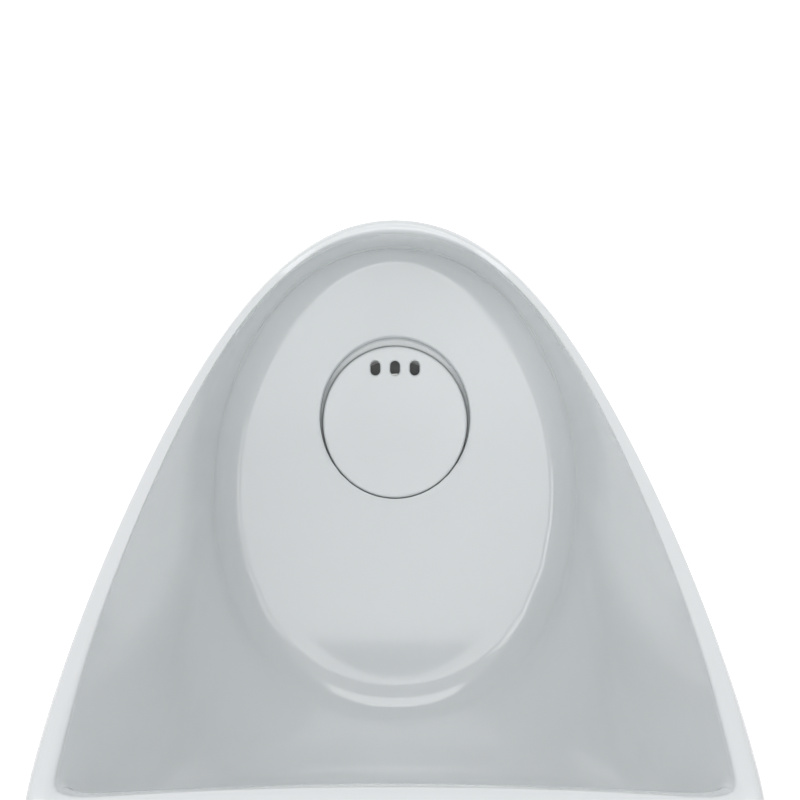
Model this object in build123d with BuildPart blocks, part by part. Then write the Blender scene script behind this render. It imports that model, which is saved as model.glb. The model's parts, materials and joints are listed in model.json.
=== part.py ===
from build123d import *
import os

# Floor-standing urinal: vitreous china body with an open front, lift-out drain cover,
# strainer and bell trap, waste fitting, flush spreader and concealed wall and floor fixings.
# Millimetres. +Z is up, the open front faces -Y, the back face lies against the wall at +Y.
# The origin is on the floor, below the middle of the body's overall box.
# Depths are measured forward from the wall.

os.makedirs("parts", exist_ok=True)

# Overall size of the body
body_width = 370.0
body_depth = 395.0
body_height = 924.0
bowl_floor = 300.0
lip_height = 430.0

# Side profile of the rim: where it leaves the lip, the brow and the deck
lip_run = 96.0
rim_sweep = (200.0, 738.0)
brow_depth = 104.0
brow_height = 883.0
brow_lead = (92.0, 901.0)
deck_lead = (80.0, 908.0)
deck_depth = 60.0
deck_height = 912.0

# Plan outline of the body, as shares of its half width and of its depth
nose_fullness = 0.832
flank_pull = 0.228
flank_start = 0.10

# Outer skin: height, half width and depth at the front of each level
outer_levels = (
    (0.0, 132.0, 340.0),
    (50.0, 129.0, 336.5),
    (100.0, 127.5, 335.5),
    (150.0, 128.5, 339.0),
    (200.0, 132.5, 349.0),
    (240.0, 138.5, 363.0),
    (275.0, 146.0, 377.5),
    (310.0, 153.5, 388.0),
    (350.0, 161.0, 393.5),
    (390.0, 167.0, 395.0),
    (lip_height, 171.5, body_depth),
    (480.0, 174.0, body_depth),
    (540.0, 175.8, body_depth),
    (600.0, 177.4, body_depth),
    (660.0, 179.0, body_depth),
    (720.0, 180.5, body_depth),
    (780.0, 182.0, body_depth),
    (840.0, 183.5, body_depth),
    (900.0, 184.7, body_depth),
    (body_height + 36.0, body_width / 2 + 1.0, body_depth),
)

# Bowl: inner half width and its flare with height, and the depths of its front and back
bowl_half_width = 108.0
bowl_flare = 0.0972
bowl_front = 387.0
bowl_front_draft = 5.0
bowl_back = 49.0
bowl_back_sweep = 35.0
bowl_back_rise = 160.0
bowl_back_power = 2.2
bowl_widest = 230.0
bowl_widest_lean = 0.18
bowl_level_step = 40.0
bowl_level_count = 17

# Shape of the bowl in plan, from an egg at the floor to squarer corners under the hood
flank_fullness = (0.60, 0.81)
flank_tightness = (0.50, 0.23)
corner_squareness = (0.58, 0.92)

# Hood: how far it overhangs the bowl, and where its curve starts and ends
hood_overhang = 46.0
hood_start = 430.0
hood_rise = 150.0

# China thickness and edge radii
china = 14.0
rim_radius = 3.0
bowl_floor_radius = 16.0
rim_facing = 0.3
nut_bevel = 0.05

# Open hollow inside the pedestal and behind the bowl
pedestal_roof = 268.0
back_recess_depth = 34.0
back_recess_low = 250.0
back_recess_shoulder = 430.0
back_recess_top = 800.0
back_recess_half_low = 118.0
back_recess_half = 148.0
back_recess_radius = 18.0

# Drain: place, recess for the cover and the well for the trap
drain_depth = 270.0
recess_half_width = 50.3
recess_half_length = 53.5
recess_shift = 3.4
recess_depth = 17.0
recess_radius = 2.0
well_radius = 35.0
well_floor = 215.0
well_wall = 11.0
well_bottom = 12.0
waste_hole_radius = 25.0

# Running and seating clearances
seat_gap = 0.3
ring_fit = 0.05
slip = 0.4

# Drain cover
cover_half_width = 46.75
cover_half_length = 49.2
cover_plate = 9.0
cover_proud = 1.0
cover_edge_radius = 2.6
skirt_wall = 3.6
skirt_inset = 2.0
skirt_gate = 34.0
slot_width = 6.3
slot_length = 9.4
slot_pitch = 12.8
slot_forward = 35.0

# Trap cup with its standpipe
cup_flange_radius = 40.0
cup_flange = 3.0
cup_radius = 33.0
cup_wall = 2.8
cup_bottom = 224.0
cup_base = 3.0
standpipe_radius = 15.0
standpipe_wall = 2.0
standpipe_top = 262.0
standpipe_tail = 12.0
strainer_step = 4.0
o_ring_section = 2.8
o_ring_height = 271.0
o_ring_groove = 3.4

# Strainer, bell and the screw that joins them
strainer_radius = 31.6
strainer_plate_thickness = 1.5
strainer_hole_radius = 1.9
strainer_rings = ((13.5, 8), (20.0, 12), (26.5, 18))
bell_radius = 23.0
bell_wall = 2.0
bell_rim = 236.0
bell_top = 3.0
strainer_screw_radius = 2.5
strainer_screw_head = 4.6
strainer_screw_head_height = 2.8
strainer_screw_length = 12.0
strainer_nut_flats = 8.0
strainer_nut_height = 4.0

# Waste fitting under the well
waste_gasket_thickness = 2.5
waste_flange_radius = 32.0
waste_flange = 3.0
waste_tube_radius = 24.2
waste_tube_wall = 3.2
waste_tube_end = 150.0
waste_washer_thickness = 4.0
waste_washer_radius = 36.0
slip_ring_thickness = 2.0
slip_ring_radius = 35.0
waste_nut_flats = 68.0
waste_nut_height = 12.0
pipe_radius = 25.0
pipe_wall = 2.0
socket_radius = 30.5
socket_wall = 2.8
socket_top = 172.0
socket_floor = 146.0
socket_seal_low = 155.0
socket_seal_height = 10.0
floor_collar_radius = 41.0
floor_collar_height = 14.0
floor_collar_lip = 4.0

# Flush spreader in the back wall of the bowl
spreader_height = 705.0
spreader_seat_radius = 31.0
spreader_radius = 27.0
spreader_flange = 3.0
spreader_nose = 15.0
spreader_tip = 10.0
spreader_cell = 8.0
spreader_slot = 3.0
spreader_slot_start = 3.0
spreader_gasket_thickness = 2.0
spreader_hole_radius = 12.0
tail_radius = 10.48
tail_length = 16.0
shank_radius = 11.4
shank_bore = 7.0
shank_end_depth = 5.0
inlet_washer_thickness = 3.0
inlet_washer_radius = 18.0
inlet_nut_flats = 32.0
inlet_nut_height = 8.0

# Wall brackets under the roof of the back recess
wall_bracket_offset = 96.0
wall_bracket_width = 60.0
wall_bracket_drop = 72.0
wall_bracket_reach = 28.0
steel = 3.0
wall_bracket_bend = 5.0
wall_slot_length = 18.0
wall_slot_radius = 4.5
wall_slot_pitch = 30.0
wall_slot_drop = 40.0
wall_pad_thickness = 2.0
wall_pad_inset = 4.0

# Floor brackets and side screws inside the pedestal
floor_bracket_depth = 42.0
floor_bracket_width = 40.0
floor_bracket_leg = 46.0
floor_bracket_reach = 48.0
floor_bracket_face = 113.0
floor_bracket_bend = 5.0
floor_hole_radius = 4.5
floor_hole_inset = 24.0
side_screw_height = 28.0
side_screw_radius = 3.0
side_screw_head = 6.0
side_screw_head_height = 4.0
side_screw_length = 30.0
side_hole_radius = 5.0
side_pocket_radius = 11.0
side_pocket_face = 123.5
sleeve_flange_radius = 8.2
sleeve_radius = 4.8
sleeve_flange = 1.6
cap_radius = 10.6
cap_wall = 1.8
cap_rim_face = 130.2
cap_dome = 2.4
side_nut_flats = 10.0
side_nut_height = 5.0


def y_at(depth):
    return body_depth / 2 - depth


drain_y = y_at(drain_depth)
recess_y = drain_y - recess_shift
recess_floor = bowl_floor - recess_depth
drain_plane = Plane(origin=(0, drain_y, 0), x_dir=(1, 0, 0), z_dir=(0, -1, 0))
drain_axis = Axis((0, drain_y, 0), (0, 0, 1))


def save(piece, name):
    piece.part.label = name
    export_step(piece.part, f"parts/{name}.step")


def outer_section(height, half_width, front):
    with BuildSketch(Plane.XY.offset(height)) as section:
        with BuildLine():
            flank = Bezier(
                (0, y_at(front)),
                (nose_fullness * half_width, y_at(front)),
                (half_width, y_at(flank_pull * front)),
                (half_width, y_at(flank_start * front)),
            )
            side = Line(flank @ 1, (half_width, y_at(0)))
            Line(side @ 1, (0, y_at(0)))
            mirror(about=Plane.YZ)
        make_face()
    return section.sketch.face()


def pedestal_section(height, half_width, front):
    inner = half_width - china
    with BuildSketch(Plane.XY.offset(height)) as section:
        with BuildLine():
            flank = Bezier(
                (0, y_at(front - china)),
                (nose_fullness * inner, y_at(front - china)),
                (inner, y_at(flank_pull * front)),
                (inner, y_at(flank_start * front)),
            )
            side = Line(flank @ 1, (inner, y_at(-china)))
            Line(side @ 1, (0, y_at(-china)))
            mirror(about=Plane.YZ)
        make_face()
    return section.sketch.face()


def ease(share):
    share = min(max(share, 0.0), 1.0)
    return share * share * (3 - 2 * share)


def between(pair, share):
    return pair[0] + share * (pair[1] - pair[0])


def bowl_section(rise):
    tall = rise / (brow_height - bowl_floor)
    half_width = bowl_half_width + bowl_flare * rise
    front = bowl_front - bowl_front_draft * ease(1 - rise / bowl_back_rise)
    sweep = max(1 - rise / bowl_back_rise, 0.0) ** bowl_back_power
    hood = ease((rise - hood_start) / hood_rise)
    back = bowl_back + bowl_back_sweep * sweep + hood_overhang * hood
    widest = bowl_widest - bowl_widest_lean * rise
    fullness = between(flank_fullness, tall)
    pull = between(flank_tightness, tall)
    squareness = between(corner_squareness, ease(tall))
    with BuildSketch(Plane.XY.offset(bowl_floor + rise)) as section:
        with BuildLine():
            flank = Bezier(
                (0, y_at(front)),
                (fullness * half_width, y_at(front)),
                (half_width, y_at(widest + pull * (front - widest))),
                (half_width, y_at(widest)),
            )
            Bezier(
                flank @ 1,
                (half_width, y_at(widest - squareness * (widest - back))),
                (squareness * half_width, y_at(back)),
                (0, y_at(back)),
            )
            mirror(about=Plane.YZ)
        make_face()
    return section.sketch.face()


def nut(plane, flats, height, hole):
    with BuildPart() as piece:
        with BuildSketch(plane):
            RegularPolygon(radius=flats / 2, side_count=6, major_radius=False)
            Circle(hole, mode=Mode.SUBTRACT)
        extrude(amount=height)
        ends = piece.edges().filter_by(GeomType.LINE).group_by(Axis(plane.origin, plane.z_dir))
        chamfer(ends[0] + ends[-1], length=flats * nut_bevel)
    return piece


# Space inside the bowl
with BuildPart() as bowl_space:
    loft(sections=[bowl_section(bowl_level_step * level) for level in range(bowl_level_count)])
    fillet(bowl_space.edges().group_by(Axis.Z)[0], radius=bowl_floor_radius)

# Space inside the pedestal, one wall thickness inside the outer skin and open at the back
with BuildPart() as pedestal_space:
    loft(sections=[pedestal_section(*level) for level in outer_levels if level[0] < bowl_floor])
    split(bisect_by=Plane.XY.offset(pedestal_roof), keep=Keep.BOTTOM)

# Vitreous china body
with BuildPart() as ceramic_body:
    loft(sections=[outer_section(*level) for level in outer_levels])

    # Open pedestal, and the recess behind the bowl that holds the inlet and the wall brackets
    add(pedestal_space.part, mode=Mode.SUBTRACT)
    with BuildSketch(Plane.XZ.offset(-y_at(0))) as recess_outline:
        with BuildLine():
            Polyline(
                (0, back_recess_low),
                (back_recess_half_low, back_recess_low),
                (back_recess_half, back_recess_shoulder),
                (back_recess_half, back_recess_top),
                (0, back_recess_top),
            )
            mirror(about=Plane.YZ)
        make_face()
        fillet(recess_outline.vertices().group_by(Axis.Y)[-1], radius=back_recess_radius)
    extrude(amount=back_recess_depth, mode=Mode.SUBTRACT)

    # Rim, brow and deck, cut straight across
    with BuildSketch(Plane.YZ):
        with BuildLine():
            rim = Bezier(
                (y_at(body_depth), lip_height),
                (y_at(body_depth - lip_run), lip_height),
                (y_at(rim_sweep[0]), rim_sweep[1]),
                (y_at(brow_depth), brow_height),
            )
            brow = Bezier(
                rim @ 1,
                (y_at(brow_lead[0]), brow_lead[1]),
                (y_at(deck_lead[0]), deck_lead[1]),
                (y_at(deck_depth), deck_height),
            )
            deck = Line(brow @ 1, (y_at(0), body_height))
            above = body_height + body_depth
            Polyline(
                deck @ 1,
                (y_at(-china), body_height),
                (y_at(-china), above),
                (y_at(body_depth + china), above),
                (y_at(body_depth + china), lip_height),
                rim @ 0,
            )
        make_face()
    extrude(amount=body_width, both=True, mode=Mode.SUBTRACT)
    add(bowl_space.part, mode=Mode.SUBTRACT)
    rim_faces = ceramic_body.faces().filter_by(
        lambda face: face.center().Z > lip_height and face.normal_at().Z > rim_facing
    )
    seams = rim_faces.edges()
    rim_edges = seams.filter_by(lambda edge: seams.count(edge) == 1 and edge.center().Y < y_at(seat_gap))
    fillet(rim_edges, radius=rim_radius)

    # Drain well hanging below the bowl floor, and the oval recess for the cover
    with BuildSketch(Plane.XY.offset(well_floor - well_bottom)):
        with Locations((0, drain_y)):
            Circle(well_radius + well_wall)
    extrude(amount=recess_floor - well_floor)
    with BuildSketch(Plane.XY.offset(recess_floor)):
        with Locations((0, recess_y)):
            Ellipse(recess_half_width, recess_half_length)
    extrude(amount=2 * recess_depth, mode=Mode.SUBTRACT)
    with Locations((0, drain_y, recess_floor)):
        CounterBoreHole(
            radius=well_radius,
            counter_bore_radius=cup_flange_radius + slip,
            counter_bore_depth=cup_flange,
            depth=recess_floor - well_floor,
        )
    with Locations((0, drain_y, well_floor)):
        Hole(radius=waste_hole_radius, depth=2 * well_bottom)
    floor_edges = ceramic_body.edges().filter_by_position(
        Axis.Z, bowl_floor - seat_gap, bowl_floor + seat_gap
    )
    fillet(floor_edges.sort_by(SortBy.LENGTH)[0], radius=recess_radius)

    # Spreader seat and hole
    with BuildSketch(Plane.XZ.offset(-y_at(bowl_back))):
        with Locations((0, spreader_height)):
            Circle(spreader_seat_radius)
    extrude(amount=china, mode=Mode.SUBTRACT)
    with BuildSketch(Plane.XZ.offset(-y_at(0))):
        with Locations((0, spreader_height)):
            Circle(spreader_hole_radius)
    extrude(amount=bowl_back + china, mode=Mode.SUBTRACT)

    # Side screw hole with a flat pocket for its cap, then the right side as the left one's twin
    with BuildSketch(Plane.YZ.offset(-floor_bracket_face)):
        with Locations((y_at(floor_bracket_depth), side_screw_height)):
            Circle(side_hole_radius)
    extrude(amount=-2 * china, mode=Mode.SUBTRACT)
    with BuildSketch(Plane.YZ.offset(-side_pocket_face)):
        with Locations((y_at(floor_bracket_depth), side_screw_height)):
            Circle(side_pocket_radius)
    extrude(amount=-2 * china, mode=Mode.SUBTRACT)
    split(bisect_by=Plane.YZ, keep=Keep.BOTTOM)
    mirror(about=Plane.YZ)

save(ceramic_body, "ceramic_body")

# Drain cover: an oval plate with three slots on a castellated skirt
cover_top = bowl_floor + cover_proud
cover_underside = cover_top - cover_plate
cover_seat = recess_floor + seat_gap
with BuildPart() as drain_cover:
    with BuildSketch(Plane.XY.offset(cover_underside)):
        with Locations((0, drain_y)):
            Ellipse(cover_half_width, cover_half_length)
    extrude(amount=cover_plate)
    fillet(drain_cover.edges().group_by(Axis.Z)[-1], radius=cover_edge_radius)
    with BuildSketch(Plane.XY.offset(cover_seat)):
        with Locations((0, drain_y)):
            Ellipse(cover_half_width - skirt_inset, cover_half_length - skirt_inset)
            Ellipse(
                cover_half_width - skirt_inset - skirt_wall,
                cover_half_length - skirt_inset - skirt_wall,
                mode=Mode.SUBTRACT,
            )
            Rectangle(2 * cover_half_width, skirt_gate, mode=Mode.SUBTRACT)
            Rectangle(skirt_gate, 2 * cover_half_length, mode=Mode.SUBTRACT)
    extrude(amount=cover_underside - cover_seat)
    with BuildSketch(Plane.XY.offset(cover_top)):
        with Locations((0, drain_y - slot_forward)):
            with GridLocations(slot_pitch, 0, 3, 1):
                SlotOverall(slot_length, slot_width, rotation=90)
    extrude(amount=-cover_plate, mode=Mode.SUBTRACT)
save(drain_cover, "drain_cover")

# Trap cup: flanged cup that holds the water seal, with the standpipe that drains it
cup_underside = recess_floor - cup_flange + seat_gap
cup_top = cup_underside + cup_flange
o_ring_centre = well_radius - ring_fit - o_ring_section / 2
groove_radius = o_ring_centre - o_ring_section / 2 - ring_fit
strainer_ledge = cup_top - strainer_step
with BuildPart() as trap_cup:
    with BuildSketch(drain_plane) as cup_profile:
        with BuildLine():
            Polyline(
                (standpipe_radius - standpipe_wall, cup_bottom - standpipe_tail),
                (standpipe_radius, cup_bottom - standpipe_tail),
                (standpipe_radius, cup_bottom),
                (cup_radius, cup_bottom),
                (cup_radius, o_ring_height - o_ring_groove / 2),
                (groove_radius, o_ring_height - o_ring_groove / 2),
                (groove_radius, o_ring_height + o_ring_groove / 2),
                (cup_radius, o_ring_height + o_ring_groove / 2),
                (cup_radius, cup_underside),
                (cup_flange_radius, cup_underside),
                (cup_flange_radius, cup_top),
                (strainer_radius + slip, cup_top),
                (strainer_radius + slip, strainer_ledge),
                (cup_radius - cup_wall, strainer_ledge),
                (cup_radius - cup_wall, cup_bottom + cup_base),
                (standpipe_radius, cup_bottom + cup_base),
                (standpipe_radius, standpipe_top),
                (standpipe_radius - standpipe_wall, standpipe_top),
                close=True,
            )
        make_face()
    revolve(axis=drain_axis)
    base_edges = trap_cup.edges().filter_by(GeomType.CIRCLE).filter_by(
        lambda edge: abs(edge.radius - cup_radius) < slip and abs(edge.center().Z - cup_bottom) < slip
    )
    fillet(base_edges, radius=cup_wall)
save(trap_cup, "trap_cup")

with BuildPart() as trap_o_ring:
    with BuildSketch(drain_plane):
        with Locations((o_ring_centre, o_ring_height)):
            Circle(o_ring_section / 2)
    revolve(axis=drain_axis)
save(trap_o_ring, "trap_o_ring")

# Strainer with the bell that hangs from it over the standpipe
strainer_underside = strainer_ledge + seat_gap
strainer_top = strainer_underside + strainer_plate_thickness
with BuildPart() as strainer_plate:
    with BuildSketch(Plane.XY.offset(strainer_underside)):
        with Locations((0, drain_y)):
            Circle(strainer_radius)
            Circle(strainer_screw_radius, mode=Mode.SUBTRACT)
            for ring_radius, count in strainer_rings:
                with PolarLocations(ring_radius, count):
                    Circle(strainer_hole_radius, mode=Mode.SUBTRACT)
    extrude(amount=strainer_plate_thickness)
save(strainer_plate, "strainer_plate")

bell_ceiling = strainer_underside - bell_top
with BuildPart() as trap_bell:
    with BuildSketch(drain_plane):
        with BuildLine():
            Polyline(
                (strainer_screw_radius, bell_ceiling),
                (bell_radius - bell_wall, bell_ceiling),
                (bell_radius - bell_wall, bell_rim),
                (bell_radius, bell_rim),
                (bell_radius, strainer_underside),
                (strainer_screw_radius, strainer_underside),
                close=True,
            )
        make_face()
    revolve(axis=drain_axis)
    fillet(trap_bell.edges().group_by(Axis.Z)[-1].sort_by(SortBy.RADIUS)[-1], radius=bell_wall)
save(trap_bell, "trap_bell")

with BuildPart() as strainer_screw:
    with BuildSketch(Plane.XY.offset(strainer_top)):
        with Locations((0, drain_y)):
            Circle(strainer_screw_head)
    extrude(amount=strainer_screw_head_height)
    fillet(strainer_screw.edges().group_by(Axis.Z)[-1], radius=strainer_screw_head_height / 2)
    with BuildSketch(Plane.XY.offset(strainer_top)):
        with Locations((0, drain_y)):
            Circle(strainer_screw_radius)
    extrude(amount=-strainer_screw_length)
save(strainer_screw, "strainer_screw")

strainer_nut = nut(
    Plane((0, drain_y, bell_ceiling - strainer_nut_height)),
    strainer_nut_flats,
    strainer_nut_height,
    strainer_screw_radius,
)
save(strainer_nut, "strainer_nut")

# Waste fitting through the bottom of the well, and the pipe down to the floor
gasket_top = well_floor + waste_gasket_thickness
boss_underside = well_floor - well_bottom
washer_underside = boss_underside - waste_washer_thickness
slip_ring_underside = washer_underside - slip_ring_thickness


def ring(low, high, inner, outer):
    with BuildPart() as piece:
        with BuildSketch(Plane.XY.offset(low)):
            with Locations((0, drain_y)):
                Circle(outer)
                Circle(inner, mode=Mode.SUBTRACT)
        extrude(amount=high - low)
    return piece


waste_gasket = ring(well_floor, gasket_top, waste_hole_radius, waste_flange_radius)
save(waste_gasket, "waste_gasket")

with BuildPart() as waste_spigot:
    with BuildSketch(drain_plane):
        with BuildLine():
            Polyline(
                (waste_tube_radius - waste_tube_wall, waste_tube_end),
                (waste_tube_radius, waste_tube_end),
                (waste_tube_radius, gasket_top),
                (waste_flange_radius, gasket_top),
                (waste_flange_radius, gasket_top + waste_flange),
                (waste_tube_radius - waste_tube_wall, gasket_top + waste_flange),
                close=True,
            )
        make_face()
    revolve(axis=drain_axis)
    chamfer(waste_spigot.edges().group_by(Axis.Z)[-1].sort_by(SortBy.RADIUS)[-1], length=waste_flange / 2)
save(waste_spigot, "waste_spigot")

waste_washer = ring(washer_underside, boss_underside, waste_tube_radius, waste_washer_radius)
save(waste_washer, "waste_washer")

slip_ring = ring(slip_ring_underside, washer_underside, waste_tube_radius, slip_ring_radius)
save(slip_ring, "slip_ring")

waste_locknut = nut(
    Plane((0, drain_y, slip_ring_underside - waste_nut_height)),
    waste_nut_flats,
    waste_nut_height,
    waste_tube_radius,
)
save(waste_locknut, "waste_locknut")

with BuildPart() as waste_pipe:
    with BuildSketch(drain_plane):
        with BuildLine():
            Polyline(
                (pipe_radius - pipe_wall, 0),
                (pipe_radius, 0),
                (pipe_radius, socket_floor - pipe_wall),
                (socket_radius, socket_floor + pipe_wall),
                (socket_radius, socket_top),
                (socket_radius - socket_wall, socket_top),
                (socket_radius - socket_wall, socket_floor + pipe_wall),
                (pipe_radius - pipe_wall, socket_floor),
                close=True,
            )
        make_face()
    revolve(axis=drain_axis)
save(waste_pipe, "waste_pipe")

socket_seal = ring(
    socket_seal_low,
    socket_seal_low + socket_seal_height,
    waste_tube_radius,
    socket_radius - socket_wall,
)
save(socket_seal, "socket_seal")

with BuildPart() as floor_collar:
    with BuildSketch(drain_plane):
        with BuildLine():
            Polyline(
                (pipe_radius, 0),
                (floor_collar_radius, 0),
                (floor_collar_radius, floor_collar_lip),
                (pipe_radius + floor_collar_lip, floor_collar_height),
                (pipe_radius, floor_collar_height),
                close=True,
            )
        make_face()
    revolve(axis=drain_axis)
save(floor_collar, "floor_collar")

# Flush spreader through the back wall of the bowl
spreader_axis = Axis((0, 0, spreader_height), (0, -1, 0))
spreader_face = bowl_back + spreader_gasket_thickness
spreader_front = spreader_face + spreader_flange
with BuildPart() as flush_spreader:
    with BuildSketch(Plane.YZ):
        with BuildLine():
            shank = Polyline(
                (y_at(spreader_front + spreader_cell), spreader_height),
                (y_at(spreader_front + spreader_cell), spreader_height + shank_bore),
                (y_at(shank_end_depth), spreader_height + shank_bore),
                (y_at(shank_end_depth), spreader_height + tail_radius),
                (y_at(shank_end_depth + tail_length), spreader_height + tail_radius),
                (y_at(shank_end_depth + tail_length), spreader_height + shank_radius),
                (y_at(spreader_face), spreader_height + shank_radius),
                (y_at(spreader_face), spreader_height + spreader_radius),
                (y_at(spreader_front), spreader_height + spreader_radius),
            )
            dome = Bezier(
                shank @ 1,
                (y_at(spreader_front + spreader_nose / 2), spreader_height + spreader_radius),
                (y_at(spreader_front + spreader_nose), spreader_height + 2 * spreader_tip),
                (y_at(spreader_front + spreader_nose), spreader_height + spreader_tip),
            )
            Polyline(
                dome @ 1,
                (y_at(spreader_front + spreader_nose), spreader_height),
                shank @ 0,
            )
        make_face()
    revolve(axis=spreader_axis)
    with BuildSketch(Plane.XZ.offset(-y_at(spreader_front + spreader_slot_start))):
        with Locations((0, spreader_height - spreader_radius / 2)):
            Rectangle(2 * spreader_radius, spreader_radius)
    extrude(amount=spreader_slot, mode=Mode.SUBTRACT)
save(flush_spreader, "flush_spreader")


def inlet_ring(start, thickness, inner, outer):
    with BuildPart() as piece:
        with BuildSketch(Plane.XZ.offset(-y_at(start))):
            with Locations((0, spreader_height)):
                Circle(outer)
                Circle(inner, mode=Mode.SUBTRACT)
        extrude(amount=thickness)
    return piece


spreader_gasket = inlet_ring(bowl_back, spreader_gasket_thickness, shank_radius, spreader_radius)
save(spreader_gasket, "spreader_gasket")

inlet_washer_start = back_recess_depth - inlet_washer_thickness
inlet_washer = inlet_ring(inlet_washer_start, inlet_washer_thickness, shank_radius, inlet_washer_radius)
save(inlet_washer, "inlet_washer")

inlet_nut = nut(
    Plane(
        origin=(0, y_at(inlet_washer_start - inlet_nut_height), spreader_height),
        x_dir=(1, 0, 0),
        z_dir=(0, -1, 0),
    ),
    inlet_nut_flats,
    inlet_nut_height,
    shank_radius,
)
save(inlet_nut, "inlet_nut")

# Wall brackets that the roof of the back recess hangs on, with their pads
ledge_top = back_recess_top - wall_pad_thickness
for side, hand in ((-1, "left"), (1, "right")):
    centre = side * wall_bracket_offset
    with BuildPart() as wall_bracket:
        with BuildSketch(Plane.YZ.offset(centre)) as profile:
            with BuildLine():
                Polyline(
                    (y_at(0), ledge_top - wall_bracket_drop),
                    (y_at(0), ledge_top),
                    (y_at(wall_bracket_reach), ledge_top),
                    (y_at(wall_bracket_reach), ledge_top - steel),
                    (y_at(steel), ledge_top - steel),
                    (y_at(steel), ledge_top - wall_bracket_drop),
                    close=True,
                )
            make_face()
            corners = profile.vertices().group_by(Axis.X)
            fillet(corners[-1].sort_by(Axis.Y)[-1], radius=wall_bracket_bend)
            inner_corners = profile.vertices().filter_by(
                lambda vertex: abs(vertex.X - y_at(steel)) < seat_gap and vertex.Y > ledge_top - 2 * steel
            )
            fillet(inner_corners, radius=wall_bracket_bend - steel)
        extrude(amount=wall_bracket_width / 2, both=True)
        with BuildSketch(Plane.XZ.offset(-y_at(0))):
            with Locations((centre, ledge_top - wall_slot_drop)):
                with GridLocations(wall_slot_pitch, 0, 2, 1):
                    SlotOverall(wall_slot_length, 2 * wall_slot_radius)
        extrude(amount=steel, mode=Mode.SUBTRACT)
    save(wall_bracket, f"wall_bracket_{hand}")

with BuildPart() as wall_pads:
    with BuildSketch(Plane.XY.offset(ledge_top)):
        with Locations((wall_bracket_offset, y_at(wall_bracket_reach / 2 + wall_bracket_bend / 2))):
            RectangleRounded(
                wall_bracket_width - 2 * wall_pad_inset,
                wall_bracket_reach - wall_bracket_bend - wall_pad_inset,
                radius=wall_pad_inset / 2,
            )
    extrude(amount=wall_pad_thickness)
    mirror(about=Plane.YZ)
save(wall_pads, "wall_pads")

# Floor brackets inside the pedestal
leg_inner = floor_bracket_face - steel
for side, hand in ((-1, "left"), (1, "right")):
    with BuildPart() as floor_bracket:
        with BuildSketch(Plane.XZ.offset(-y_at(floor_bracket_depth))) as profile:
            with BuildLine():
                Polyline(
                    (side * (floor_bracket_face - floor_bracket_reach), 0),
                    (side * floor_bracket_face, 0),
                    (side * floor_bracket_face, floor_bracket_leg),
                    (side * leg_inner, floor_bracket_leg),
                    (side * leg_inner, steel),
                    (side * (floor_bracket_face - floor_bracket_reach), steel),
                    close=True,
                )
            make_face()
            fillet(
                profile.vertices().filter_by(
                    lambda vertex: abs(abs(vertex.X) - leg_inner) < seat_gap and vertex.Y < 2 * steel
                ),
                radius=floor_bracket_bend - steel,
            )
            fillet(
                profile.vertices().filter_by(
                    lambda vertex: abs(abs(vertex.X) - floor_bracket_face) < seat_gap and vertex.Y < seat_gap
                ),
                radius=floor_bracket_bend,
            )
        extrude(amount=floor_bracket_width / 2, both=True)
        with BuildSketch(Plane.XY):
            with Locations((side * (floor_bracket_face - floor_hole_inset), y_at(floor_bracket_depth))):
                Circle(floor_hole_radius)
        extrude(amount=steel, mode=Mode.SUBTRACT)
        with BuildSketch(Plane.YZ.offset(side * leg_inner)):
            with Locations((y_at(floor_bracket_depth), side_screw_height)):
                Circle(side_screw_radius)
        extrude(amount=side * steel, mode=Mode.SUBTRACT)
    save(floor_bracket, f"floor_bracket_{hand}")

# Side screws that tie the pedestal to the floor brackets: sleeves, screws, nuts and caps
screw_y = y_at(floor_bracket_depth)
sleeve_outer = side_pocket_face + sleeve_flange
with BuildPart() as side_sleeves:
    with BuildSketch(Plane.YZ.offset(floor_bracket_face)):
        with Locations((screw_y, side_screw_height)):
            Circle(sleeve_radius)
            Circle(side_screw_radius, mode=Mode.SUBTRACT)
    extrude(amount=side_pocket_face - floor_bracket_face)
    with BuildSketch(Plane.YZ.offset(side_pocket_face)):
        with Locations((screw_y, side_screw_height)):
            Circle(sleeve_flange_radius)
            Circle(side_screw_radius, mode=Mode.SUBTRACT)
    extrude(amount=sleeve_flange)
    mirror(about=Plane.YZ)
save(side_sleeves, "side_sleeves")

with BuildPart() as side_screws:
    with BuildSketch(Plane.YZ.offset(sleeve_outer)):
        with Locations((screw_y, side_screw_height)):
            Circle(side_screw_head)
    extrude(amount=side_screw_head_height)
    fillet(side_screws.edges().group_by(Axis.X)[-1], radius=side_screw_head_height / 3)
    with BuildSketch(Plane.YZ.offset(sleeve_outer)):
        with Locations((screw_y, side_screw_height)):
            Circle(side_screw_radius)
    extrude(amount=-side_screw_length)
    mirror(about=Plane.YZ)
save(side_screws, "side_screws")

right_nut = nut(
    Plane(
        origin=(leg_inner - side_nut_height, screw_y, side_screw_height),
        x_dir=(0, 1, 0),
        z_dir=(1, 0, 0),
    ),
    side_nut_flats,
    side_nut_height,
    side_screw_radius,
)
with BuildPart() as side_nuts:
    add(right_nut.part)
    mirror(about=Plane.YZ)
save(side_nuts, "side_nuts")

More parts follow.
